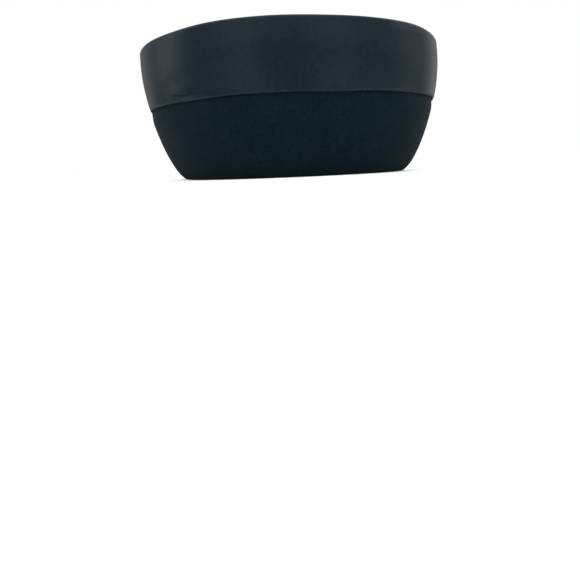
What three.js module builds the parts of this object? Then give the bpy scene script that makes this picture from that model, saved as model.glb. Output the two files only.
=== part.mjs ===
// Breton hat: a plain domed felt crown inside a tall felt brim that is turned up all the way
// round, with a wide ribbon bound over the brim's rim.
// Millimetres, +Z up. The front of the hat faces -Y, and the hat rests on the plane Z = 0.
import * as THREE from "three";

// Driving dimensions
const HEAD_HALF_WIDTH = 82; // head opening, an oval
const HEAD_HALF_LENGTH = 98;
const FELT = 2.5; // wall of the felt
const RIBBON = 1; // wall of the doubled ribbon
const CLEARANCE = 0.3; // between one piece and the next
const COLLAR_HEIGHT = 13; // the upright felt that the crown is sewn to
const FOLD_RADIUS = 3.5; // outside of the fold below the collar
const STRIP_OUT = 10.5; // how far out the flat strip ends and the brim starts to rise
const ROLL_OUT = 20; // how far out the pull of the roll reaches along the floor
const ROLL_SHARE = 0.42; // share of the felt's height over which the wall straightens
const WALL_LEAN = 0.16; // how much more the wall leans out at the ribbon's edge than above it
const BAND_WIDTH = 43.5; // the ribbon on the outside, the same all round
const CROWN_HEIGHT = 107;
const CROWN_SQUARENESS = 2.6; // 2 is an ellipsoid, more has a fuller shoulder

// The turned-up brim, section by section round a quarter of the hat: how far its ribbon's lower
// edge and its rim stand out from the head opening, and how high the rim is.
const FRONT_AND_BACK = { edgeOut: 37.5, rimOut: 45, rimHeight: 96.3 };
const DIAGONAL = { edgeOut: 37, rimOut: 40, rimHeight: 96.8 };
const SIDE = { edgeOut: 36.5, rimOut: 38.8, rimHeight: 98.8 };

// How many faces
const ROUND_STEPS = 60; // round the hat
const FOLD_STEPS = 3; // round the fold below the collar
const FELT_STEPS = 7; // up the bare felt of the brim
const RIBBON_STEPS = 4; // up the ribbon
const RIM_STEPS = 4; // over the rim
const DOME_STEPS = 9; // up the crown

// Depths below the outer face of the ribbon
const UNDER_RIBBON = RIBBON + CLEARANCE; // to the felt
const RIM_RADIUS = UNDER_RIBBON + FELT / 2; // to the middle of the wall
const INNER_LEG = UNDER_RIBBON + FELT + CLEARANCE; // to the ribbon inside the brim

// A column of the section table at any azimuth: 0 is the front, a quarter turn is the side.
function around(column, azimuth) {
  const between = (FRONT_AND_BACK[column] + SIDE[column]) / 2;
  const mean = (between + DIAGONAL[column]) / 2;
  const lengthways = (FRONT_AND_BACK[column] - SIDE[column]) / 2;
  return (
    mean + lengthways * Math.cos(2 * azimuth) + (between - mean) * Math.cos(4 * azimuth)
  );
}

// Points along a stretch of the section, each with the direction out of the felt. The curve's
// own start is left out, because the stretch before it ends there.
function stretch(curve, steps) {
  return Array.from({ length: steps }, (_, i) => {
    const t = (i + 1) / steps;
    const along = curve.getTangent(t);
    return { point: curve.getPoint(t), along, out: new THREE.Vector2(along.y, -along.x) };
  });
}

// The outer face of the brim at one azimuth, as distance out from the head opening and height.
// It runs down the collar, round the fold, along the strip and up to the ribbon's lower edge,
// and then up the ribbon.
function brimLine(azimuth) {
  const edgeOut = around("edgeOut", azimuth);
  const rimOut = around("rimOut", azimuth);
  const rimHeight = around("rimHeight", azimuth);
  const ribbonRise = Math.sqrt(BAND_WIDTH ** 2 - (rimOut - edgeOut) ** 2);
  const edgeLean = (rimOut - edgeOut) / BAND_WIDTH + WALL_LEAN;
  const edgeSlope = new THREE.Vector2(edgeLean, ribbonRise / BAND_WIDTH).normalize();

  const collarTop = new THREE.Vector2(0, COLLAR_HEIGHT);
  const foldTop = new THREE.Vector2(0, FOLD_RADIUS);
  const stripStart = new THREE.Vector2(FOLD_RADIUS, 0);
  const stripEnd = new THREE.Vector2(STRIP_OUT, 0);
  const rollPull = new THREE.Vector2(ROLL_OUT, 0);
  const edge = new THREE.Vector2(edgeOut, rimHeight - ribbonRise);
  const edgePull = edge.clone().addScaledVector(edgeSlope, -ROLL_SHARE * edge.y);
  const ribbonPull = edge.clone().addScaledVector(edgeSlope, BAND_WIDTH / 2);
  const ribbonTop = new THREE.Vector2(rimOut, rimHeight - RIM_RADIUS);

  const collar = new THREE.LineCurve(collarTop, foldTop);
  const fold = new THREE.EllipseCurve(
    FOLD_RADIUS,
    FOLD_RADIUS,
    FOLD_RADIUS,
    FOLD_RADIUS,
    Math.PI,
    1.5 * Math.PI,
  );
  const strip = new THREE.LineCurve(stripStart, stripEnd);
  const wall = new THREE.CubicBezierCurve(stripEnd, rollPull, edgePull, edge);
  const ribbon = new THREE.QuadraticBezierCurve(edge, ribbonPull, ribbonTop);
  const [collarFoot] = stretch(collar, 1);
  return {
    bare: [
      { ...collarFoot, point: collarTop },
      collarFoot,
      ...stretch(fold, FOLD_STEPS),
      ...stretch(strip, 1),
      ...stretch(wall, FELT_STEPS),
    ],
    covered: stretch(ribbon, RIBBON_STEPS),
  };
}

// The points of a section line moved into the wall by a depth.
function sunk(line, depth) {
  return line.map(({ point, out }) => point.clone().addScaledVector(out, -depth));
}

// A half circle over the rim, from the outside to the inside, without its two ends.
function overRim(rim, radius) {
  const centre = rim.point.clone().addScaledVector(rim.out, -RIM_RADIUS);
  return Array.from({ length: RIM_STEPS - 1 }, (_, i) => {
    const turn = (Math.PI * (i + 1)) / RIM_STEPS;
    return centre
      .clone()
      .addScaledVector(rim.out, radius * Math.cos(turn))
      .addScaledVector(rim.along, radius * Math.sin(turn));
  });
}

// The brim's felt: out along the line, over the rim, and back along the other face. The ribbon
// presses the felt in by its own thickness.
function brimSection(azimuth) {
  const line = brimLine(azimuth);
  const bare = line.bare.slice(0, -1);
  const covered = [line.bare.at(-1), ...line.covered];
  return [
    ...sunk(bare, 0),
    ...sunk(covered, UNDER_RIBBON),
    ...overRim(covered.at(-1), FELT / 2),
    ...sunk(covered, UNDER_RIBBON + FELT).reverse(),
    ...sunk(bare, FELT).reverse(),
  ];
}

// The ribbon: up the outside, over the rim, down the inside, and back round its other face.
function ribbonSection(azimuth) {
  const line = brimLine(azimuth);
  const covered = [line.bare.at(-1), ...line.covered];
  const rim = covered.at(-1);
  return [
    ...sunk(covered, 0),
    ...overRim(rim, RIM_RADIUS),
    ...sunk(covered, INNER_LEG + RIBBON).reverse(),
    ...sunk(covered, INNER_LEG),
    ...overRim(rim, RIM_RADIUS - RIBBON).reverse(),
    ...sunk(covered, RIBBON).reverse(),
  ];
}

// A point of the hat from its azimuth, its distance out from the head opening and its height.
function place(azimuth, out, height) {
  return new THREE.Vector3(
    (HEAD_HALF_WIDTH + out) * Math.sin(azimuth),
    -(HEAD_HALF_LENGTH + out) * Math.cos(azimuth),
    height,
  );
}

// One face of the crown at one azimuth, from its lower edge to the middle of its top. It stands
// straight round the collar and closes above it in a full-shouldered dome.
function domeLine(azimuth, out, top) {
  const spring = COLLAR_HEIGHT + CLEARANCE;
  const power = 2 / CROWN_SQUARENESS;
  const line = [place(azimuth, out, FOLD_RADIUS + CLEARANCE)];
  for (let i = 0; i < DOME_STEPS; i++) {
    const climb = ((Math.PI / 2) * i) / DOME_STEPS;
    const share = Math.cos(climb) ** power;
    const point = place(azimuth, out, spring + (top - spring) * Math.sin(climb) ** power);
    line.push(point.multiply(new THREE.Vector3(share, share, 1)));
  }
  line.push(new THREE.Vector3(0, 0, top));
  return line;
}

function crownLine(azimuth) {
  const innerOut = FELT + CLEARANCE;
  const inner = domeLine(azimuth, innerOut, CROWN_HEIGHT - FELT);
  const outer = domeLine(azimuth, innerOut + FELT, CROWN_HEIGHT);
  return [...inner.reverse(), ...outer];
}

// A surface through one row of points for each step round the hat. A row that is a loop closes
// on itself, and other rows start and end in the middle of the crown, where triangles shrink to
// nothing and are left out.
function skin(rowAt, isLoop) {
  const rows = Array.from({ length: ROUND_STEPS }, (_, i) =>
    rowAt((2 * Math.PI * i) / ROUND_STEPS),
  );
  const corners = [];
  const addFace = (...face) => {
    const shrunk = face.some((corner, i) => corner.distanceTo(face[(i + 1) % 3]) < 1e-6);
    if (!shrunk) corners.push(...face);
  };
  rows.forEach((row, i) => {
    const next = rows[(i + 1) % ROUND_STEPS];
    const steps = isLoop ? row.length : row.length - 1;
    for (let j = 0; j < steps; j++) {
      const k = (j + 1) % row.length;
      addFace(row[j], next[j], next[k]);
      addFace(row[j], next[k], row[k]);
    }
  });
  return new THREE.BufferGeometry().setFromPoints(corners);
}

function ringOf(section) {
  return skin((azimuth) => section(azimuth).map((point) => place(azimuth, point.x, point.y)), true);
}

function piece(name, geometry, material) {
  geometry.computeVertexNormals();
  const mesh = new THREE.Mesh(geometry, material);
  mesh.name = name;
  return mesh;
}

const crownFelt = new THREE.MeshStandardMaterial({ color: 0x0e1518, roughness: 0.95 });
const brimFelt = crownFelt.clone();
const satin = new THREE.MeshStandardMaterial({ color: 0x161f23, roughness: 0.45 });

const hat = new THREE.Group();
hat.add(
  piece("crown", skin(crownLine, false), crownFelt),
  piece("brim", ringOf(brimSection), brimFelt),
  piece("rim_band", ringOf(ribbonSection), satin),
);

export default hat;
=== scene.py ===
"""A breton hat: a domed felt crown inside a tall felt brim that is turned up all the way round,
with a wide satin ribbon bound over the brim's rim. Blender 4.5, metres, +Z up, front to -Y."""

import math

import bpy
import numpy as np
from mathutils import Matrix, Vector


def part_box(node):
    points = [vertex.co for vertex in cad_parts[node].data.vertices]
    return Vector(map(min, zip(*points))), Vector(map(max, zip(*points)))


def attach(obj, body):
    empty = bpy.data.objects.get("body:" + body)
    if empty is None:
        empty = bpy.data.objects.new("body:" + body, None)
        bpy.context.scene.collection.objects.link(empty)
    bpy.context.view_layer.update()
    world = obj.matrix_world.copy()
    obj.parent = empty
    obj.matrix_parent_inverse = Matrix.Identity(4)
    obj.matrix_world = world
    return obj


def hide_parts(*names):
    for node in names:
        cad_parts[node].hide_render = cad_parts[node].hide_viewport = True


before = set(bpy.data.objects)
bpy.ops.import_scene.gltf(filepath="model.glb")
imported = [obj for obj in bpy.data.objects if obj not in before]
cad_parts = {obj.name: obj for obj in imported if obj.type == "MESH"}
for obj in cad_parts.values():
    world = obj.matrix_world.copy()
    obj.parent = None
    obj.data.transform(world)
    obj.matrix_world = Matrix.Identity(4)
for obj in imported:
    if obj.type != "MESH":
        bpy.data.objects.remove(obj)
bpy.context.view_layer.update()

# ------------------------------------------------------------------ driving dimensions
MM = 0.001
FELT = 2.5 * MM  # wall of the felt
CLEARANCE = 0.3 * MM  # between one piece and the next
RIBBON_SPACE = 1.0 * MM  # room for the ribbon on each side of the felt
RIBBON = 0.8 * MM  # the ribbon itself
COLLAR_HEIGHT = 13 * MM  # the upright felt that the crown is sewn to
FOLD_RADIUS = 3.5 * MM  # outside of the fold below the collar
STRIP_OUT = 10.5 * MM  # how far out the flat strip ends and the brim starts to rise
ROLL_OUT = 20 * MM  # how far out the pull of the roll reaches along the floor
ROLL_SHARE = 0.42  # share of the felt's height over which the wall straightens
WALL_LEAN = 0.16  # how much more the wall leans out at the ribbon's edge than above it
BAND_WIDTH = 44.1 * MM  # the ribbon on the outside, the same all round
CROWN_SQUARENESS = 2.6  # 2 is an ellipsoid, more has a fuller shoulder

CROWN_OUT = FELT + CLEARANCE  # from the head opening to the crown's inner face
HEAD_HALF_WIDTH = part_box("crown")[1].x - CROWN_OUT - FELT
HEAD_HALF_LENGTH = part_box("crown")[1].y - CROWN_OUT - FELT
CROWN_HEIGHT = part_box("crown")[1].z

# How far the ribbon's lower edge and the rim stand out from the head opening, and the rim's height.
# Felt is soft, so the rim stands up to 2 mm off the solid brim.
FRONT_AND_BACK = {"edge_out": 37.5 * MM, "rim_out": 44.5 * MM, "rim_height": 96.9 * MM}
DIAGONAL = {"edge_out": 37 * MM, "rim_out": 41.7 * MM, "rim_height": 97.8 * MM}
SIDE = {"edge_out": 36.5 * MM, "rim_out": 38.3 * MM, "rim_height": 99.3 * MM}
RIM_SHIFT = 0.9 * MM  # how far the soft rim has settled towards -X
EDGE_TILT = 0.85 * MM  # how much higher than its mean the ribbon's edge is at +X, and lower at -X
EDGE_WAVES = [  # where the edge of the ribbon was sewn on a little high or low
    {"turn": math.radians(14), "reach": math.radians(9), "by": -0.75 * MM},
    {"turn": math.radians(-18), "reach": math.radians(9), "by": 0.35 * MM},
]
RIM_WAVES = [  # where the soft rim stands a little high or low
    {"turn": math.radians(-38), "reach": math.radians(12), "by": -0.5 * MM},
    {"turn": math.radians(-27), "reach": math.radians(16), "by": 0.6 * MM},
    {"turn": math.radians(-3), "reach": math.radians(20), "by": 0.28 * MM},
    {"turn": math.radians(9), "reach": math.radians(10), "by": -0.3 * MM},
    {"turn": math.radians(44), "reach": math.radians(15), "by": 0.7 * MM},
]
RIM_SWELLS = [  # where the soft rim stands a little further out
    {"turn": math.radians(-78), "reach": math.radians(20), "by": 0.75 * MM},
    {"turn": math.radians(82), "reach": math.radians(20), "by": 0.55 * MM},
]
EDGE_SWELLS = [  # and where the felt under the ribbon's edge stands a little further in or out
    {"turn": math.radians(-78), "reach": math.radians(15), "by": -0.25 * MM},
    {"turn": math.radians(78), "reach": math.radians(15), "by": 0.5 * MM},
]

# How far along its tangents a Bezier curve's control points lie to make a quarter circle
QUARTER_PULL = 4 / 3 * (math.sqrt(2) - 1)

# Depths below the outer face of the ribbon
UNDER_RIBBON = RIBBON_SPACE + CLEARANCE
RIM_RADIUS = UNDER_RIBBON + FELT / 2
INNER_LEG = UNDER_RIBBON + FELT + CLEARANCE + RIBBON_SPACE

# The felt as it is blocked and sewn
FELT_WAVER = 0.22 * MM  # how uneven the wall of the brim is
FELT_DIP_REACH = 9 * MM  # how far below the ribbon the felt starts to be pressed in
GROOVE = 0.2 * MM  # how deep the ribbon's edge bites into the felt
GROOVE_REACH = 0.8 * MM  # and how far below the edge that shows
SEAM_HEIGHT = 7.5 * MM  # the stitches that hold the crown to the collar

# The ribbon as it is sewn on
RIBBON_CUT = 2 * BAND_WIDTH + math.pi * RIM_RADIUS  # its width laid flat
RIB_PITCH = 0.55 * MM  # between the fine ribs that run across it
BILLOW = 0.10 * MM  # how far it stands proud in long waves
RIPPLE = 0.035 * MM  # and in short ones
EDGE_DIP = 0.45 * MM  # how far the stitches pull its edges down to the felt
EDGE_REACH = 2.4 * MM  # how far in from its edges that shows
LAP = 9 * MM  # how far its end laps over its start, at the middle of the back
LAP_CLIMB = (7 * MM, 1 * MM)  # how far before the join the end starts to rise, and is up
LAP_LIFT = RIBBON + 0.15 * MM
STITCH_INSET = 1.05 * MM  # from its edge to the stitches
STITCH_DEPTH = 0.75 * EDGE_DIP + 0.04 * MM  # from its even face to the middle of the thread
STITCH_DIMPLE = 0.10 * MM
STITCH_PITCH = 3.2 * MM
STITCH_LENGTH = 3.1 * MM
STITCH_THICKNESS = 0.46 * MM

# A small tuck in the ribbon's lower edge, where it is eased round the brim
TUCK_DEEP_END = math.radians(-41.5)
TUCK_THIN_END = math.radians(-23)  # where it runs out at the ribbon's edge
TUCK_HEIGHT = 5.3 * MM  # of the crease above the ribbon's edge, at the deep end
TUCK_STEP = 0.7 * MM  # how far the ribbon above the crease stands over the strip below

# A painted highlight: a paler streak painted over the rim. Where round the hat, and where across
PAINTED_STREAK_START = (math.radians(29), math.radians(36))
PAINTED_STREAK_END = (math.radians(48), math.radians(56))
PAINTED_STREAK_OUTSIDE = (BAND_WIDTH - 5 * MM, BAND_WIDTH - 1 * MM)
PAINTED_STREAK_INSIDE = (BAND_WIDTH + 3 * MM, BAND_WIDTH + 6 * MM)

# Fineness of the meshes
BRIM_TURNS = 360
BAND_TURNS = 480
LAP_TURNS = 24  # more of them, where the ribbon laps
WALL_STEPS = 52  # up the bare felt
COVERED_STEPS = 24  # up the felt under the ribbon
FELT_RIM_STEPS = 7
RIBBON_RIM_STEPS = 11

# ------------------------------------------------------------------ looks
CROWN_FELT = {"dark": (0.0040, 0.0105, 0.0140), "light": (0.0085, 0.0180, 0.0230), "sheen": 0.05}
BRIM_FELT = {"dark": (0.0026, 0.0096, 0.0138), "light": (0.0062, 0.0148, 0.0201), "sheen": 0.026}
SATIN_OUTSIDE = ((0.0004, 0.0106, 0.0142), (0.0018, 0.0162, 0.0213))
# greyer inside than outside: painted sheen, in place of the shine that the ribbon's outside mirrors
SATIN_INSIDE_PAINTED_SHEEN = ((0.0036, 0.0100, 0.0132), (0.0060, 0.0150, 0.0195))
# painted highlight: the paler colour mixed in at the selvedge, below the tuck and over the rim
SATIN_PAINTED_HIGHLIGHT = (0.030, 0.050, 0.062)
SATIN_IOR = 1.33
SATIN_SHINE_LIMIT = 0.042  # the most of the light that the satin mirrors
SATIN_FLARE = 0.12  # and the share of what it would mirror beyond that
# painted glint: the thread's colour is raised to give the glinting dashes along the stitches
THREAD_PAINTED_GLINT = ((0.003, 0.015, 0.020), (0.024, 0.050, 0.062))

# What the hat's shine mirrors, by azimuth in degrees: 0 is in front of the hat, 90 to its right.
SHINE_BASE = 0.48
SOFT_BOXES = [
    {"middle": 0, "half_width": 15, "edge": 60, "wall": 0.34, "floor": 0.0},
    {"middle": -38, "half_width": 8, "edge": 18, "wall": 0.46, "floor": 0.46},
    {"middle": 38, "half_width": 8, "edge": 20, "wall": 0.38, "floor": 0.38},
    {"middle": 73, "half_width": 8, "edge": 12, "wall": 0.12, "floor": 0.12},
    {"middle": -104, "half_width": 14, "edge": 5, "wall": 0.50, "floor": 0.34},
    {"middle": -150, "half_width": 17, "edge": 8, "wall": 0.42, "floor": 0.6},
    {"middle": -165, "half_width": 18, "edge": 12, "wall": 0.6, "floor": 0.75},
    {"middle": 130, "half_width": 32, "edge": 4, "wall": 0.12, "floor": 0.16},
    {"middle": 160, "half_width": 20, "edge": 10, "wall": 1.4, "floor": 1.8},
]
SIDE_TINTS = [
    (105 / 180, (1.0, 1.0, 1.0)),
    (120 / 180, (0.98, 0.93, 1.05)),
    (138 / 180, (0.98, 0.94, 1.04)),
    (152 / 180, (1.05, 1.01, 0.97)),
]
SHINE_FOCUS = 0.10  # how far in front of the hat's middle the floor's marks run together
FLOOR_DIMMING = 0.74  # of the floor where the shine mirrors it
FLOOR_GLOW = 0.15  # the floor's own light on the dull felt
FLOOR_GLOW_SEEN = 0.45  # and to the eye

STUDIO_LIGHT = 0.6
PANEL_PLACE = (0, -0.2, 1.5)
PANEL_AIM = (0, 0, 0.06)
PANEL_SIZE = 1.8
PANEL_POWER = 25

CAMERA_PLACE = (0, -0.4978, 0.008)
CAMERA_DOWN = math.radians(12.9)
CAMERA_ROLL = math.radians(2.43)
CAMERA_SENSOR = 36
CAMERA_LENS = 33.77
CAMERA_SHIFT = -0.0166  # the hat stands a little left of the middle


# ------------------------------------------------------------------ the section of the brim
def around(column, turn):
    """A column of the section table at each angle: 0 is the front, a quarter turn the side."""
    ends, corner, side = FRONT_AND_BACK[column], DIAGONAL[column], SIDE[column]
    between = (ends + side) / 2
    mean = (between + corner) / 2
    return mean + (ends - side) / 2 * np.cos(2 * turn) + (between - mean) * np.cos(4 * turn)


def bezier(controls, shares):
    """Points along a Bezier curve at each angle, and the directions along it: (turns, steps, 2)."""
    rows = [np.repeat(control[:, None, :], len(shares), axis=1) for control in controls]
    share = shares[None, :, None]
    while len(rows) > 2:
        rows = [start + (end - start) * share for start, end in zip(rows, rows[1:])]
    along = rows[1] - rows[0]
    return rows[0] + along * share, along / np.linalg.norm(along, axis=2, keepdims=True)


def waved(waves, turn):
    """How far some gentle waves move a line round the hat at each angle."""
    return sum(wave["by"] * np.exp(-(((turn - wave["turn"]) / wave["reach"]) ** 2)) for wave in waves)


def starts(steps):
    """Where each of some even steps from 0 to 1 starts."""
    return np.linspace(0, 1, steps + 1)[:-1]


def brim_line(turn, band_shares):
    """The outer face of the brim at each angle, as distance out from the head opening and height:
    the bare felt from the collar to the ribbon's lower edge, and then the ribbon up to the rim."""

    def spot(out, height):
        return np.stack(np.broadcast_arrays(out + 0 * turn, height + 0 * turn), axis=1)

    edge_out = around("edge_out", turn) + waved(EDGE_SWELLS, turn)
    rim_out = around("rim_out", turn) - RIM_SHIFT * np.sin(turn) + waved(RIM_SWELLS, turn)
    rim_wave = waved(RIM_WAVES, turn)
    rim_height = around("rim_height", turn) + rim_wave
    rise = np.sqrt(BAND_WIDTH**2 - (rim_out - edge_out) ** 2) - EDGE_TILT * np.sin(turn)
    rise = rise - waved(EDGE_WAVES, turn) + rim_wave
    slope = spot((rim_out - edge_out) / BAND_WIDTH + WALL_LEAN, rise / BAND_WIDTH)
    slope /= np.linalg.norm(slope, axis=1, keepdims=True)

    edge = spot(edge_out, rim_height - rise)
    edge_pull = edge - slope * (ROLL_SHARE * edge[:, 1:])
    band_pull = edge + slope * BAND_WIDTH / 2
    band_top = spot(rim_out, rim_height - RIM_RADIUS)
    hook = FOLD_RADIUS * (1 - QUARTER_PULL)
    fold_top, fold_end = spot(0, FOLD_RADIUS), spot(FOLD_RADIUS, 0)
    strip_end = spot(STRIP_OUT, 0)

    up_the_wall = 1 - np.linspace(1, 0, WALL_STEPS) ** 1.6  # finer near the ribbon
    stretches = [
        bezier([spot(0, COLLAR_HEIGHT - FELT / 2), fold_top], starts(6)),
        bezier([fold_top, spot(0, hook), spot(hook, 0), fold_end], starts(8)),
        bezier([fold_end, strip_end], starts(5)),
        bezier([strip_end, spot(ROLL_OUT, 0), edge_pull, edge], up_the_wall),
    ]
    bare = [np.concatenate(parts, axis=1) for parts in zip(*stretches)]
    return bare, bezier([edge, band_pull, band_top], band_shares)


def outward(along):
    """The direction out of the felt, a quarter turn from the direction along the section."""
    return np.stack([along[..., 1], -along[..., 0]], axis=-1)


def sunk(line, depth):
    """The points of a section line moved into the wall by a depth."""
    points, along = line
    return points - outward(along) * depth[..., None]


def over_rim(line, radius, steps):
    """A half circle over the end of a section line, from the outside to the inside."""
    points, along = line[0][:, -1:], line[1][:, -1:]
    turned = np.linspace(0, math.pi, steps + 2)[1:-1][None, :, None]
    arm = outward(along) * np.cos(turned) + along * np.sin(turned)
    return points - outward(along) * RIM_RADIUS + arm * radius[..., None]


def place(turn, section):
    """Section points, as distance out and height, put round the head opening: (turns, steps, 3)."""
    out, height = section[..., 0], section[..., 1]
    angle = turn[:, None]
    across = (HEAD_HALF_WIDTH + out) * np.sin(angle)
    along = -(HEAD_HALF_LENGTH + out) * np.cos(angle)
    return np.stack([across, along, height], axis=-1)


def smooth(low, high, value):
    """0 below low, 1 above high, and a smooth rise between them."""
    share = np.clip((value - low) / (high - low), 0, 1)
    return share * share * (3 - 2 * share)


def waver(turn, seed, waves, depth):
    """An even, unplanned wavering round the hat: a sum of cosines with seeded phases."""
    draw = np.random.default_rng(seed)
    total = sum(draw.uniform(-1, 1) * np.cos(n * turn + draw.uniform(0, math.tau)) for n in waves)
    return depth * total / math.sqrt(len(waves) / 3)


# ------------------------------------------------------------------ meshes
def mesh_object(name, points, faces, uv=None, marks=None):
    """A smooth mesh object at the origin, with its faces turned outwards. Marks are numbers that
    each point carries for its material."""
    mesh = bpy.data.meshes.new(name)
    mesh.from_pydata(points.tolist(), [], faces.tolist())
    for title, values in (marks or {}).items():
        mark = mesh.attributes.new(title, "FLOAT", "POINT")
        mark.data.foreach_set("value", values.astype(np.float32).ravel())
    if uv is not None:
        corners = np.empty(len(mesh.loops), dtype=np.int32)
        mesh.loops.foreach_get("vertex_index", corners)
        layer = mesh.uv_layers.new(name="UVMap")
        layer.uv.foreach_set("vector", uv[corners].astype(np.float32).ravel())
    face_out(mesh)
    mesh.shade_smooth()
    piece = bpy.data.objects.new(name, mesh)
    bpy.context.scene.collection.objects.link(piece)
    return piece


def face_out(mesh):
    """Turns a closed mesh right way round if its faces point in."""
    mesh.calc_loop_triangles()
    corners = np.empty(len(mesh.loop_triangles) * 3, dtype=np.int32)
    mesh.loop_triangles.foreach_get("vertices", corners)
    points = np.empty(len(mesh.vertices) * 3, dtype=np.float32)
    mesh.vertices.foreach_get("co", points)
    a, b, c = points.reshape(-1, 3).astype(float)[corners.reshape(-1, 3)].transpose(1, 0, 2)
    if np.einsum("ij,ij->", a, np.cross(b, c)) < 0:
        mesh.flip_normals()


def loft(name, grid, closes_round, uv=None, marks=None):
    """A mesh through rings of section points. Each section is a loop, and the rings either close
    on themselves or have flat ends, whose sections are two matching rows."""
    turns, steps = grid.shape[:2]
    index = np.arange(turns * steps).reshape(turns, steps)
    ends = []
    if closes_round:
        index = np.vstack([index, index[:1]])
    else:
        for ring, way in ((index[0], 1), (index[-1], -1)):
            outer, inner = ring[: steps // 2], ring[: steps // 2 - 1 : -1]
            cap = np.stack([outer[:-1], outer[1:], inner[1:], inner[:-1]], axis=-1)
            ends.append(cap[:, ::way])
    index = np.hstack([index, index[:, :1]])
    corners = [index[:-1, :-1], index[:-1, 1:], index[1:, 1:], index[1:, :-1]]
    quads = np.stack(corners, axis=-1).reshape(-1, 4)
    faces = np.vstack([quads, *ends])
    flat_uv = None if uv is None else uv.reshape(-1, 2)
    return mesh_object(name, grid.reshape(-1, 3), faces, flat_uv, marks)


# ------------------------------------------------------------------ node trees
class Wire:
    """A number, vector or colour in a node tree. Arithmetic on it adds the Math nodes."""

    def __init__(self, tree, socket):
        self.tree = tree
        self.socket = socket

    def math(self, operation, *values):
        return self.tree.node("ShaderNodeMath", {"operation": operation}, dict(enumerate(values)))

    def __add__(self, other):
        return self.math("ADD", self, other)

    def __sub__(self, other):
        return self.math("SUBTRACT", self, other)

    def __rsub__(self, other):
        return self.math("SUBTRACT", other, self)

    def __mul__(self, other):
        return self.math("MULTIPLY", self, other)

    def __truediv__(self, other):
        return self.math("DIVIDE", self, other)

    def __rtruediv__(self, other):
        return self.math("DIVIDE", other, self)

    def __pow__(self, other):
        return self.math("POWER", self, other)

    def __gt__(self, other):
        return self.math("GREATER_THAN", self, other)

    def __abs__(self):
        return self.math("ABSOLUTE", self)

    __radd__ = __add__
    __rmul__ = __mul__

    def sin(self):
        return self.math("SINE", self)

    def cos(self):
        return self.math("COSINE", self)

    def axis(self, name):
        """The X, Y or Z of a vector."""
        return self.tree.node("ShaderNodeSeparateXYZ", {}, {"Vector": self}, name)

    def between(self, low, high):
        """0 at low, 1 at high, a straight line between them."""
        ends = {"Value": self, "From Min": low, "From Max": high}
        return self.tree.node("ShaderNodeMapRange", {"clamp": True}, ends)


class Tree:
    """A node tree that is written as Python."""

    def __init__(self, nodes_and_links):
        self.tree = nodes_and_links

    def node(self, kind, settings=None, sockets=None, result=0):
        """Adds a node: first its settings, then a value or a wire for each socket. A socket is
        named by its name or its place, and so is the output that is returned."""
        made = self.tree.nodes.new(kind)
        for name, value in (settings or {}).items():
            if name == "stops":
                self.set_stops(made.color_ramp, value)
            else:
                setattr(made, name, value)
        for name, value in (sockets or {}).items():
            socket = self.find(made.inputs, name)
            if isinstance(value, Wire):
                self.tree.links.new(value.socket, socket)
            else:
                socket.default_value = value
        return Wire(self, self.find(made.outputs, result)) if len(made.outputs) else None

    @staticmethod
    def find(sockets, name):
        shown = [s for s in sockets if s.enabled]
        return shown[name] if isinstance(name, int) else next(s for s in shown if s.name == name)

    @staticmethod
    def set_stops(ramp, stops):
        while len(ramp.elements) < len(stops):
            ramp.elements.new(1)
        for element, (position, colour) in zip(ramp.elements, stops):
            element.position = position
            element.color = (*colour, 1)

    def mix(self, share, low, high):
        """A colour between two colours."""
        settings = {"data_type": "RGBA", "blend_type": "MIX"}
        low, high = (v if isinstance(v, Wire) else (*v, 1) for v in (low, high))
        return self.node("ShaderNodeMix", settings, {"Factor": share, "A": low, "B": high})

    def mark(self, title):
        """A number that a mesh carries at each point, or 0 on a mesh without it."""
        return self.node("ShaderNodeAttribute", {"attribute_name": title}, result="Fac")

    def azimuth(self, spot, focus=0.0):
        """The way to a spot from a point that far in front of the hat's middle, in degrees: 0 is
        to the front and 90 to the right."""
        across, forward = spot.axis("X"), -1 * (spot.axis("Y") + focus)
        return across.math("ARCTAN2", across, forward) * math.degrees(1)

    def noise(self, where, size, detail=2.0, roughness=0.5):
        """Soft random values, about 0 to 1, with spots of about that size."""
        sockets = {"Vector": where, "Scale": 1 / size, "Detail": detail, "Roughness": roughness}
        return self.node("ShaderNodeTexNoise", {}, sockets)


class Shape(Tree):
    """A tree of geometry nodes with named inputs."""

    def __init__(self, name, **inputs):
        super().__init__(bpy.data.node_groups.new(name, "GeometryNodeTree"))
        faces = self.tree.interface.new_socket
        faces(name="Geometry", in_out="INPUT", socket_type="NodeSocketGeometry")
        for title, kind in inputs.items():
            faces(name=title, in_out="INPUT", socket_type=f"NodeSocket{kind}")
        faces(name="Geometry", in_out="OUTPUT", socket_type="NodeSocketGeometry")
        self.given = self.tree.nodes.new("NodeGroupInput")

    def input(self, name):
        return Wire(self, self.given.outputs[name])

    def end(self, geometry, material):
        """Real faces, smooth, with their material, out of the tree."""
        real = self.node("GeometryNodeRealizeInstances", {}, {"Geometry": geometry})
        soft = self.node("GeometryNodeSetShadeSmooth", {}, {"Geometry": real})
        painted = {"Geometry": soft, "Material": material}
        self.node("NodeGroupOutput", {}, {0: self.node("GeometryNodeSetMaterial", {}, painted)})

    def grow(self, name, path, **values):
        """The plain mesh object that the tree makes of a path of points."""
        mesh = bpy.data.meshes.new(name)
        edges = [(i, i + 1) for i in range(len(path) - 1)]
        mesh.from_pydata(path, edges, [])
        piece = bpy.data.objects.new(name, mesh)
        bpy.context.scene.collection.objects.link(piece)
        modifier = piece.modifiers.new(name, "NODES")
        modifier.node_group = self.tree
        for item in self.tree.interface.items_tree:
            if item.in_out == "INPUT" and item.name in values:
                modifier[item.identifier] = values[item.name]
        shown = piece.evaluated_get(bpy.context.evaluated_depsgraph_get())
        made = bpy.data.meshes.new_from_object(shown)
        piece.modifiers.remove(modifier)
        piece.data = made
        made.name = name
        face_out(made)
        return piece


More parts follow.
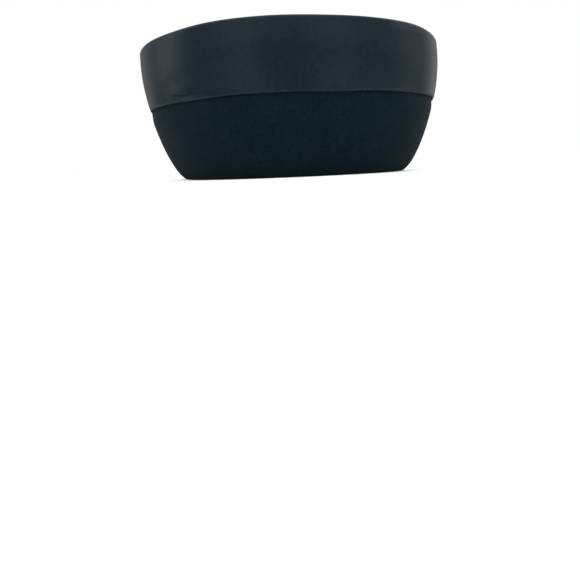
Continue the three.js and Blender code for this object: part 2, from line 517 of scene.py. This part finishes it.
# ------------------------------------------------------------------ materials
def material(name, build):
    """A material whose surface is the shader that build makes."""
    made = bpy.data.materials.new(name)
    made.use_nodes = True
    made.node_tree.nodes.clear()
    tree = Tree(made.node_tree)
    tree.node("ShaderNodeOutputMaterial", {}, {"Surface": build(tree)})
    return made


def principled(tree, sockets):
    return tree.node("ShaderNodeBsdfPrincipled", {}, sockets)


def felt_finish(dark, light, sheen):
    """Wool felt: finely speckled and dull, with a short nap and a few paler fibres, and painted
    darker in a thin line just under the ribbon's edge: painted shade where the edge's shadow falls."""

    def build(tree):
        where = tree.node("ShaderNodeTexCoord", result="Object")
        clouds = tree.noise(where, 13 * MM, 2)
        speckle = tree.noise(where, 2.0 * MM, 2, 0.6)
        nap = tree.noise(where, 0.6 * MM, 3, 0.7)
        shade = (clouds * 0.32 + speckle * 0.51 + nap * 0.17).between(0.37, 0.65)
        fibres = tree.noise(where, 1.1 * MM, 1).between(0.66, 0.76)
        # painted shade: this mark darkens the felt in a thin line where the ribbon's edge shadows it
        pressed = tree.mark("pressed")
        pale = tuple(1.25 * part for part in light)
        colour = tree.mix(fibres, tree.mix(shade, dark, light), pale)
        painted_shade_colour = tuple(0.75 * part for part in dark)
        height = speckle * 0.5 + nap * 0.5
        bump = {"Strength": 0.45, "Distance": 0.5 * MM, "Height": height}
        sockets = {
            "Base Color": tree.mix(pressed, colour, painted_shade_colour),
            "Roughness": 0.86 + 0.12 * clouds,
            "IOR": 1.4,
            "Specular IOR Level": 0.12,
            "Specular Tint": (0.5, 0.85, 1.0, 1),
            "Sheen Weight": sheen,
            "Sheen Roughness": 0.45,
            "Sheen Tint": (0.6, 0.86, 1.0, 1),
            "Normal": tree.node("ShaderNodeBump", {}, bump),
        }
        return principled(tree, sockets)

    return build


def satin_finish(tree):
    """Heavy satin ribbon: fine ribs across it, a soft shine that flares up only a little at the
    hat's sides, a selvedge painted paler as a painted highlight, painted highlights and painted
    shade at the tuck and over the rim, and a greyer tone inside the brim that is painted sheen."""
    uv = tree.node("ShaderNodeTexCoord", result="UV")
    ribs = (uv.axis("X") * (math.tau * RIBBON_LENGTH / RIB_PITCH)).sin() * 0.5 + 0.5
    from_edge = (0.5 - abs(uv.axis("Y") - 0.5)) * RIBBON_CUT
    selvedge = 1 - from_edge.between(0.8 * MM, 1.5 * MM)
    where = tree.node("ShaderNodeTexCoord", result="Object")
    clouds = tree.noise(where, 30 * MM, 2)
    threads = tree.noise(where, 3.4 * MM, 4, 0.6)
    shade = (clouds * 0.25 + threads * 0.6 + ribs * 0.15).between(0.39, 0.61)
    outside = tree.mix(shade, *SATIN_OUTSIDE)
    inside = tree.mix(shade, *SATIN_INSIDE_PAINTED_SHEEN)
    # painted sheen: the inside of the brim takes the greyer colour
    woven = tree.mix(uv.axis("Y").between(0.52, 0.58), outside, inside)
    # painted highlights: the selvedge's edge catching the light, the strip below the tuck and the
    # streak over the rim
    pale = selvedge * 0.09 + tree.mark("paler") * 0.35
    colour = tree.mix(pale, woven, SATIN_PAINTED_HIGHLIGHT)
    roughness = 0.22 + 0.05 * clouds + 0.15 * selvedge
    height = ribs * 0.5 + threads * 0.5
    bump = {"Strength": 0.2, "Distance": 0.05 * MM, "Height": height}
    normal = tree.node("ShaderNodeBump", {}, bump)
    sockets = {"Base Color": colour, "Roughness": roughness, "Normal": normal}
    shiny = {"IOR": SATIN_IOR, "Specular Tint": (0.87, 0.78, 1.0, 1), "Anisotropic": 0.3}
    shine = principled(tree, {**sockets, **shiny})
    dull = principled(tree, {**sockets, "Specular IOR Level": 0.0})
    mirror = tree.node("ShaderNodeFresnel", {}, {"IOR": SATIN_IOR})
    capped = SATIN_SHINE_LIMIT / mirror + SATIN_FLARE
    # painted shade: the tuck's mark takes the shine away at its crease and below its deep end
    kept = capped.math("MINIMUM", capped, 1.0) * (1 - tree.mark("dulled"))
    return tree.node("ShaderNodeMixShader", {}, {0: kept, 1: dull, 2: shine})


def thread_finish(tree):
    """Sewing thread: painted a shade paler than the ribbon, unevenly, as painted glints along the
    stitches, with a little shine.
    """
    where = tree.node("ShaderNodeTexCoord", result="Object")
    twist = tree.noise(where, 0.5 * MM, 2)
    uneven = tree.noise(where, 9 * MM, 4, 0.65).between(0.42, 0.66)
    shade = twist * 0.2 + uneven * 0.8
    colour = tree.mix(shade, *THREAD_PAINTED_GLINT)
    return principled(tree, {"Base Color": colour, "Roughness": 0.55 + 0.15 * twist})


def shine_by_azimuth(azimuth, where):
    """How bright the studio's wall or floor looks in the hat's shine: an even tone and some soft
    boxes."""
    glow = SHINE_BASE
    for box in SOFT_BOXES:
        reach = abs(azimuth - box["middle"])
        glow = glow + box[where] * reach.between(box["half_width"] + box["edge"], box["half_width"])
    return glow


def side_tint(tree, azimuth):
    """The hue of the shine: white in front, bluer behind the hat's sides, and warmer behind it."""
    return tree.node("ShaderNodeValToRGB", {"stops": SIDE_TINTS}, {0: abs(azimuth) / 180})


def floor_finish(tree):
    """White to the eye, and darker, with the soft boxes' marks, where the hat's shine mirrors it."""
    where = tree.node("ShaderNodeTexCoord", result="Object")
    grain = tree.noise(where, 0.4, 2)
    pale = tree.mix(grain, (0.86, 0.86, 0.86), (0.89, 0.89, 0.89))
    plain = {"Roughness": 0.9, "Specular IOR Level": 0.1}
    glow = {"Emission Color": (1, 1, 1, 1), "Emission Strength": FLOOR_GLOW}
    lit = principled(tree, {"Base Color": pale, **plain, **glow})
    white = {"Emission Color": (1, 1, 1, 1), "Emission Strength": FLOOR_GLOW_SEEN}
    seen = principled(tree, {"Base Color": pale, **plain, **white})
    azimuth = tree.azimuth(where, SHINE_FOCUS)
    marks = shine_by_azimuth(azimuth, "floor") * FLOOR_DIMMING
    tinted = {0: side_tint(tree, azimuth), "Scale": marks}
    hue = tree.node("ShaderNodeVectorMath", {"operation": "SCALE"}, tinted)
    mirrored = principled(tree, {"Base Color": hue, **plain})
    eye = tree.node("ShaderNodeLightPath", result="Is Camera Ray")
    glossy = tree.node("ShaderNodeLightPath", result="Is Glossy Ray")
    bare = tree.node("ShaderNodeMixShader", {}, {0: eye, 1: lit, 2: seen})
    return tree.node("ShaderNodeMixShader", {}, {0: glossy, 1: bare, 2: mirrored})


# ------------------------------------------------------------------ the felt brim
def felt_brim(turn):
    """The brim with its flat strip, the fold under the head opening and the collar."""
    line, band = brim_line(turn, np.linspace(0, 1, COVERED_STEPS + 1))
    past_edge = past_band_edge(line[0])
    pressed = UNDER_RIBBON * smooth(-FELT_DIP_REACH, 0.3 * MM, past_edge)
    # the groove's profile under the ribbon's edge, also used as the mask of painted shade there
    groove_and_painted_shade = np.exp(-(((past_edge + 0.4 * GROOVE_REACH) / GROOVE_REACH) ** 2))
    height = line[0][..., 1]
    uneven = FELT_WAVER * smooth(6 * MM, 26 * MM, height)
    uneven = uneven * waver(turn[:, None] + 4 * height, 4, (5, 8, 11, 15), 1)
    depth = pressed + uneven + GROOVE * groove_and_painted_shade
    covered = np.full(band[0].shape[:2], UNDER_RIBBON)
    ring = np.full((len(turn), FELT_RIM_STEPS), FELT / 2)
    outside = [sunk(line, depth), sunk(band, covered)[:, 1:]]
    rim = over_rim(band, ring, FELT_RIM_STEPS)
    inside = [sunk(band, covered + FELT)[:, :0:-1], sunk(line, pressed + uneven + FELT)[:, ::-1]]
    section = np.concatenate([*outside, rim, *inside, collar_edge(turn)], axis=1)
    unmarked = ((0, 0), (0, section.shape[1] - groove_and_painted_shade.shape[1]))
    # the 'pressed' mark is painted shade: a thin dark line painted on the felt under the ribbon's edge
    return loft("felt_brim", place(turn, section), True, marks={"pressed": np.pad(groove_and_painted_shade, unmarked)})


def past_band_edge(points):
    """How far each point of the bare felt is past the ribbon's lower edge: 0 there and negative
    below it."""
    steps = np.linalg.norm(np.diff(points, axis=1), axis=2)
    walked = np.concatenate([np.zeros((len(points), 1)), np.cumsum(steps, axis=1)], axis=1)
    return walked - walked[:, -1:]


def collar_edge(turn):
    """The rounded upper edge of the collar, from the crown's side to the head's."""
    turned = np.linspace(0, math.pi, 8)[1:-1]
    out = FELT / 2 * (1 + np.cos(turned))
    height = COLLAR_HEIGHT - FELT / 2 + FELT / 2 * np.sin(turned)
    return np.stack([out, height], axis=-1)[None].repeat(len(turn), axis=0)


# ------------------------------------------------------------------ the satin ribbon
def band_rows(fine_to, fine, coarse):
    """Heights of the ribbon's rows above its edge, fine near the edge."""
    near = np.arange(0, fine_to, fine)
    return np.concatenate([near, np.linspace(fine_to, BAND_WIDTH, round(BAND_WIDTH / coarse))])


def relief(turn, height):
    """How far the outside of the ribbon stands proud of its even face, in metres."""
    angle = turn[:, None]
    billow = waver(angle, 7, (3, 5, 7, 9, 12), BILLOW)
    ripple = waver(angle + 1.5 * height, 8, (16, 21, 27, 34), RIPPLE)
    free = smooth(0, 12 * MM, height) * (1 - 0.6 * smooth(0.7 * BAND_WIDTH, BAND_WIDTH, height))
    return (billow + ripple) * free + tuck(angle, height)


def tuck_share(angle):
    """0 where the tuck runs out at the ribbon's edge, 1 at its deep end, and more beyond it."""
    return np.clip((TUCK_THIN_END - angle) / (TUCK_THIN_END - TUCK_DEEP_END), 0, 2)


def above_crease(share, height):
    """How far above the tuck's crease a point is, in metres."""
    return height - TUCK_HEIGHT * np.minimum(share, 1.1) ** 0.8


def creased(share):
    """How sharp the tuck's crease is along its length."""
    return smooth(0.35, 0.8, share) * (1 - smooth(1.0, 1.14, share))


def tuck(angle, height):
    """The tuck's part of the relief: the ribbon above its crease stands over the strip below."""
    share = tuck_share(angle)
    from_crease = above_crease(share, height)
    above = smooth(-0.3 * MM, 0.1 * MM, from_crease)
    fades = 1 - smooth(0, 9 * MM, from_crease)
    crease = np.exp(-(((from_crease + 0.45 * MM) / (0.35 * MM)) ** 2))
    return TUCK_STEP * creased(share) * (above * fades - 0.3 * (1 - above) - 0.8 * crease)


def tuck_shine(angle, height):
    """How much paler the satin is painted below the thin end of the tuck, as a painted highlight,
    and how much of its shine is taken away at the crease and below its deep end, as painted shade."""
    share = tuck_share(angle)
    from_crease = above_crease(share, height)
    below = 1 - smooth(-0.6 * MM, 0.3 * MM, from_crease)
    paler = below * smooth(0, 0.3, share) * (1 - smooth(0.55, 0.85, share))
    line = np.exp(-((from_crease / (0.8 * MM)) ** 2))
    shaded = (1 - below) * (1 - smooth(0, 3.5 * MM, from_crease))
    soft = 0.5 * MM + 4 * MM * smooth(0.98, 1.3, share)
    strip = (1 - smooth(-soft, soft, from_crease)) * smooth(0.65, 1, share)
    strip = strip * (1 - smooth(1.2, 1.8, share))
    return paler, (0.32 * line + 0.2 * shaded) * creased(share) + 0.36 * strip


def painted_streak(angle, across):
    """A paler streak painted over the rim: a painted highlight."""
    lengthways = smooth(*PAINTED_STREAK_START, angle) * (1 - smooth(*PAINTED_STREAK_END, angle))
    return lengthways * smooth(*PAINTED_STREAK_OUTSIDE, across) * (1 - smooth(*PAINTED_STREAK_INSIDE, across))


def walked_round(turn, rim):
    """How far round the rim each angle is from the first one, in metres, from the rim's distances
    out and heights there."""
    points = place(turn, rim)[:, 0]
    return np.concatenate([[0], np.cumsum(np.linalg.norm(np.diff(points, axis=0), axis=1))])


def ribbon_length():
    """How long the ribbon is cut: once round the even rim, and the lap."""
    turn = np.linspace(-math.pi, math.pi, BAND_TURNS + 1)
    rim = np.stack([around("rim_out", turn), 0 * turn], axis=1)[:, None]
    return float(walked_round(turn, rim)[-1]) + LAP


def stitch_dimples(walked, height):
    """How far the stitches pull small hollows in the ribbon near its edge."""
    between = 0.5 - 0.5 * np.cos(math.tau * walked / STITCH_PITCH)
    return STITCH_DIMPLE * between * np.exp(-(((height - STITCH_INSET) / (0.9 * MM)) ** 2))


def sewn(walked, heights):
    """How far the stitches hold each row of the ribbon down, and how thick it is there."""
    near_edge = 1 - smooth(0, EDGE_REACH, heights)[None]
    held = EDGE_DIP * near_edge + stitch_dimples(walked[:, None], heights[None])
    return held, RIBBON * (1 - 0.25 * near_edge)


def lap_lift(turn):
    """How far the ribbon's end rises to lap over its start."""
    start, up = (math.pi - before / HEAD_HALF_WIDTH for before in LAP_CLIMB)
    return (smooth(start, up, turn) * LAP_LIFT)[:, None]


def satin_marks(turn, up, across):
    """Where the satin has painted highlights, paler, and painted shade, with less shine, round the hat
    and across its section.
    """
    shine = tuck_shine(turn[:, None], up[None])
    unmarked = ((0, 0), (0, len(across) - len(up)))
    below_tuck, dulled = (np.pad(part, unmarked) for part in shine)
    paler = 0.2 * below_tuck + painted_streak(turn[:, None], across[None] * RIBBON_CUT)
    return {"paler": paler, "dulled": dulled}


def satin_band(turn):
    """The ribbon: up the outside, over the rim and down the inside, in one closed skin whose end
    laps over its start."""
    up = band_rows(9 * MM, 0.35 * MM, 2 * MM)
    down = band_rows(3 * MM, 0.5 * MM, 2.4 * MM)
    outer_line = brim_line(turn, up / BAND_WIDTH)[1]
    inner_line = brim_line(turn, down / BAND_WIDTH)[1]
    walked = walked_round(turn, outer_line[0][:, -1:])
    lift = lap_lift(turn)
    held_out, thick_out = sewn(walked, up)
    held_in, thick_in = sewn(walked, down)
    outside = relief(turn, up[None]) + lift - held_out
    inside = 0.5 * relief(turn + 2.0, down[None]) * smooth(0, EDGE_REACH, down) + lift - held_in
    ring = np.full((len(turn), RIBBON_RIM_STEPS), RIM_RADIUS) + lift

    outer_face = [
        sunk(outer_line, -outside),
        over_rim(outer_line, ring, RIBBON_RIM_STEPS),
        sunk(inner_line, INNER_LEG + inside)[:, ::-1],
    ]
    inner_face = [
        sunk(outer_line, -outside + thick_out),
        over_rim(outer_line, ring - RIBBON, RIBBON_RIM_STEPS),
        sunk(inner_line, INNER_LEG + inside - thick_in)[:, ::-1],
    ]
    outer, inner = (np.concatenate(face, axis=1) for face in (outer_face, inner_face))
    section = np.concatenate([outer, inner[:, ::-1]], axis=1)

    over = np.linspace(0, math.pi * RIM_RADIUS, RIBBON_RIM_STEPS + 2)[1:-1] + BAND_WIDTH
    across = np.concatenate([up, over, RIBBON_CUT - down[::-1]]) / RIBBON_CUT
    across = np.concatenate([across, across[::-1]])
    lengthways = np.repeat((walked / walked[-1])[:, None], len(across), axis=1)
    uv = np.stack([lengthways, np.broadcast_to(across, lengthways.shape)], axis=-1)
    marks = satin_marks(turn, up, across)
    return loft("satin_band", place(turn, section), False, uv, marks)


# ------------------------------------------------------------------ the crown
def felt_crown(finish):
    """The dome, worked out by geometry nodes: one closed wall round the collar and over the top."""
    lengths = "half_width half_length inner_out felt foot spring top squareness dents".split()
    tree = Shape("crown", **dict.fromkeys(lengths, "Float"), turns="Int", rows="Int")
    half_width, half_length, inner_out, felt, foot, spring, top, squareness, dents = (
        tree.input(name) for name in lengths
    )
    size = {"Size X": 1.0, "Size Y": 1.0}
    size.update({"Vertices X": tree.input("turns"), "Vertices Y": tree.input("rows")})
    grid = tree.node("GeometryNodeMeshGrid", {}, size)
    spot = tree.node("GeometryNodeInputPosition")
    turn = (spot.axis("X") + 0.5) * math.tau
    outer = spot.axis("Y") > 0
    way = abs(spot.axis("Y") * 2)  # 0 at the foot and 1 at the middle of the top, on both faces
    round_the_foot, up_the_collar = 0.03, 0.09  # the shares of the way at which these end
    curl = way.between(0, round_the_foot) * (math.pi / 2)
    climb = way.between(up_the_collar, 1) * (math.pi / 2)
    power = 2 / squareness
    share = climb.cos() ** power
    rise = climb.sin() ** power

    out = inner_out + felt * 0.5 + (outer * 2 - 1) * (felt * 0.5) * curl.sin()
    foot_rise = felt * 0.5 * (1 - curl.cos())
    straight = (spring - foot - felt * 0.5) * way.between(round_the_foot, up_the_collar)
    dome = (top - felt + outer * felt - spring) * rise
    round_x, round_y = turn.sin() * share, turn.cos() * share
    direction = {"X": round_x, "Y": round_y, "Z": rise}
    soft = tree.noise(tree.node("ShaderNodeCombineXYZ", {}, direction), 0.55, 1.0)
    swell = 1 + dents * (soft - 0.5) * rise
    position = {
        "X": (half_width + out) * round_x * swell,
        "Y": (half_length + out) * round_y * swell * -1,
        "Z": foot + foot_rise + straight + dome * swell,
    }
    placed = tree.node("ShaderNodeCombineXYZ", {}, position)
    moved = tree.node("GeometryNodeSetPosition", {}, {"Geometry": grid, "Position": placed})
    joined = {"Geometry": moved, "Distance": 0.01 * MM}
    tree.end(tree.node("GeometryNodeMergeByDistance", {}, joined), finish)
    return tree.grow(
        "felt_crown",
        [(0, 0, 0)],
        half_width=HEAD_HALF_WIDTH,
        half_length=HEAD_HALF_LENGTH,
        inner_out=CROWN_OUT,
        felt=FELT,
        foot=FOLD_RADIUS + CLEARANCE,
        spring=COLLAR_HEIGHT + CLEARANCE,
        top=CROWN_HEIGHT - 0.2 * MM,
        squareness=CROWN_SQUARENESS,
        dents=0.02,
        turns=301,
        rows=241,
    )


# ------------------------------------------------------------------ stitches
def stitch_tree(finish):
    """A row of stitches laid end to end with gaps along a path."""
    tree = Shape("stitches", pitch="Float", length="Float", thickness="Float")
    path = tree.node("GeometryNodeMeshToCurve", {}, {"Mesh": tree.input("Geometry")})
    spaced = tree.node(
        "GeometryNodeResampleCurve", {"mode": "LENGTH"}, {"Curve": path, "Length": tree.input("pitch")}
    )
    ball = tree.node("GeometryNodeMeshUVSphere", {}, {"Segments": 8, "Rings": 6, "Radius": 0.5})
    loose = tree.node("FunctionNodeRandomValue", {}, {"Min": 0.8, "Max": 1.1, "Seed": 3})
    proud = tree.node("FunctionNodeRandomValue", {}, {"Min": 0.7, "Max": 1.1, "Seed": 5})
    thickness = tree.input("thickness") * proud
    sizes = {"X": thickness, "Y": thickness, "Z": tree.input("length") * loose}
    size = tree.node("ShaderNodeCombineXYZ", {}, sizes)
    along = tree.node("GeometryNodeInputTangent")
    turned = tree.node("FunctionNodeAlignRotationToVector", {"axis": "Z"}, {"Vector": along})
    laid = {"Points": spaced, "Instance": ball, "Rotation": turned, "Scale": size}
    tree.end(tree.node("GeometryNodeInstanceOnPoints", {}, laid), finish)
    return tree


def stitch_paths():
    """The paths of the rows of stitches, each as a list of points, by the piece's name."""
    turn = np.linspace(-math.pi, math.pi, BRIM_TURNS * 2 + 1)
    share = np.array([0, STITCH_INSET / BAND_WIDTH])
    line = brim_line(turn, share)[1]
    point = (line[0][:, 1:], line[1][:, 1:])
    level = np.zeros((len(turn), 1))
    outside = sunk(point, level + STITCH_DEPTH)
    inside = sunk(point, level + INNER_LEG - STITCH_DEPTH)
    seam_out = CROWN_OUT + FELT + 0.05 * MM
    seam = np.stack([level + seam_out, level + SEAM_HEIGHT], axis=-1)
    rows = {"band_stitches_outside": outside, "band_stitches_inside": inside, "crown_seam": seam}
    return {name: place(turn, row)[:, 0].tolist() for name, row in rows.items()}


# ------------------------------------------------------------------ floor, light and camera
def add_floor():
    """A wide pale floor, a hair below the hat."""
    bpy.ops.mesh.primitive_circle_add(vertices=96, radius=14, fill_type="NGON", location=(0, 0, 0))
    floor = bpy.context.object
    floor.name = "floor"
    floor.location.z = -0.05 * MM
    floor.data.materials.append(material("pale floor", floor_finish))


def add_world():
    """A pale studio: white to the eye, dimmer in the light that it gives, and with its soft boxes
    in the hat's shine."""
    world = bpy.data.worlds.new("studio")
    world.use_nodes = True
    world.node_tree.nodes.clear()
    tree = Tree(world.node_tree)
    seen = tree.node("ShaderNodeLightPath", result="Is Camera Ray")
    glossy = tree.node("ShaderNodeLightPath", result="Is Glossy Ray")
    way = tree.node("ShaderNodeTexCoord", result="Generated")
    azimuth = tree.azimuth(way)
    shine = shine_by_azimuth(azimuth, "wall")
    light = STUDIO_LIGHT + (1.0 - STUDIO_LIGHT) * seen + (shine - STUDIO_LIGHT) * glossy
    hue = tree.mix(glossy, (1, 1, 1), side_tint(tree, azimuth))
    sockets = {"Color": hue, "Strength": light}
    glow = tree.node("ShaderNodeBackground", {}, sockets)
    tree.node("ShaderNodeOutputWorld", {}, {"Surface": glow})
    bpy.context.scene.world = world


def add_panel():
    """A soft square panel light above the hat and a little in front of it."""
    data = bpy.data.lights.new("panel", "AREA")
    data.shape = "SQUARE"
    data.size = PANEL_SIZE
    data.energy = PANEL_POWER
    panel = bpy.data.objects.new("panel", data)
    panel.location = PANEL_PLACE
    to_hat = Vector(PANEL_AIM) - panel.location
    panel.rotation_euler = to_hat.to_track_quat("-Z", "Y").to_euler()
    panel.visible_camera = False
    panel.visible_glossy = False
    bpy.context.scene.collection.objects.link(panel)


def add_camera():
    """Just above the floor, in front of the hat, looking down past it."""
    data = bpy.data.cameras.new("camera")
    data.sensor_width = CAMERA_SENSOR
    data.lens = CAMERA_LENS
    data.shift_x = CAMERA_SHIFT
    data.clip_start = 0.01
    camera = bpy.data.objects.new("camera", data)
    camera.location = CAMERA_PLACE
    tilted = Matrix.Rotation(math.pi / 2 - CAMERA_DOWN, 4, "X")
    camera.rotation_euler = (tilted @ Matrix.Rotation(-CAMERA_ROLL, 4, "Z")).to_euler()
    bpy.context.scene.collection.objects.link(camera)
    bpy.context.scene.camera = camera


# ------------------------------------------------------------------ the hat
def finish_piece(piece, node=None, finish=None):
    """Gives a piece its finish, unless it has one, and says what it is part of."""
    if finish:
        piece.data.materials.append(finish)
    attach(piece, "root")
    if node:
        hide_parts(node)


add_camera()
add_floor()
add_world()
add_panel()

RIBBON_LENGTH = ribbon_length()
crown_felt = material("crown felt", felt_finish(**CROWN_FELT))
brim_felt = material("brim felt", felt_finish(**BRIM_FELT))
satin = material("satin", satin_finish)
thread = material("thread", thread_finish)

circle = np.linspace(0, math.tau, BRIM_TURNS + 1)[:-1]
brim = felt_brim(circle)
finish_piece(brim, "brim", brim_felt)

crown = felt_crown(crown_felt)
finish_piece(crown, "crown")

near_join = math.pi - 10 * MM / HEAD_HALF_WIDTH
ribbon_turns = np.concatenate(
    [
        np.linspace(-math.pi, near_join, BAND_TURNS)[:-1],
        np.linspace(near_join, math.pi + LAP / (HEAD_HALF_WIDTH + RIM_RADIUS), LAP_TURNS),
    ]
)
band = satin_band(ribbon_turns)
finish_piece(band, "rim_band", satin)

stitches = stitch_tree(thread)
for row_name, path in stitch_paths().items():
    sizes = {"pitch": STITCH_PITCH, "length": STITCH_LENGTH, "thickness": STITCH_THICKNESS}
    row = stitches.grow(row_name, path, **sizes)
    finish_piece(row)

bpy.context.scene.view_settings.view_transform = "Standard"
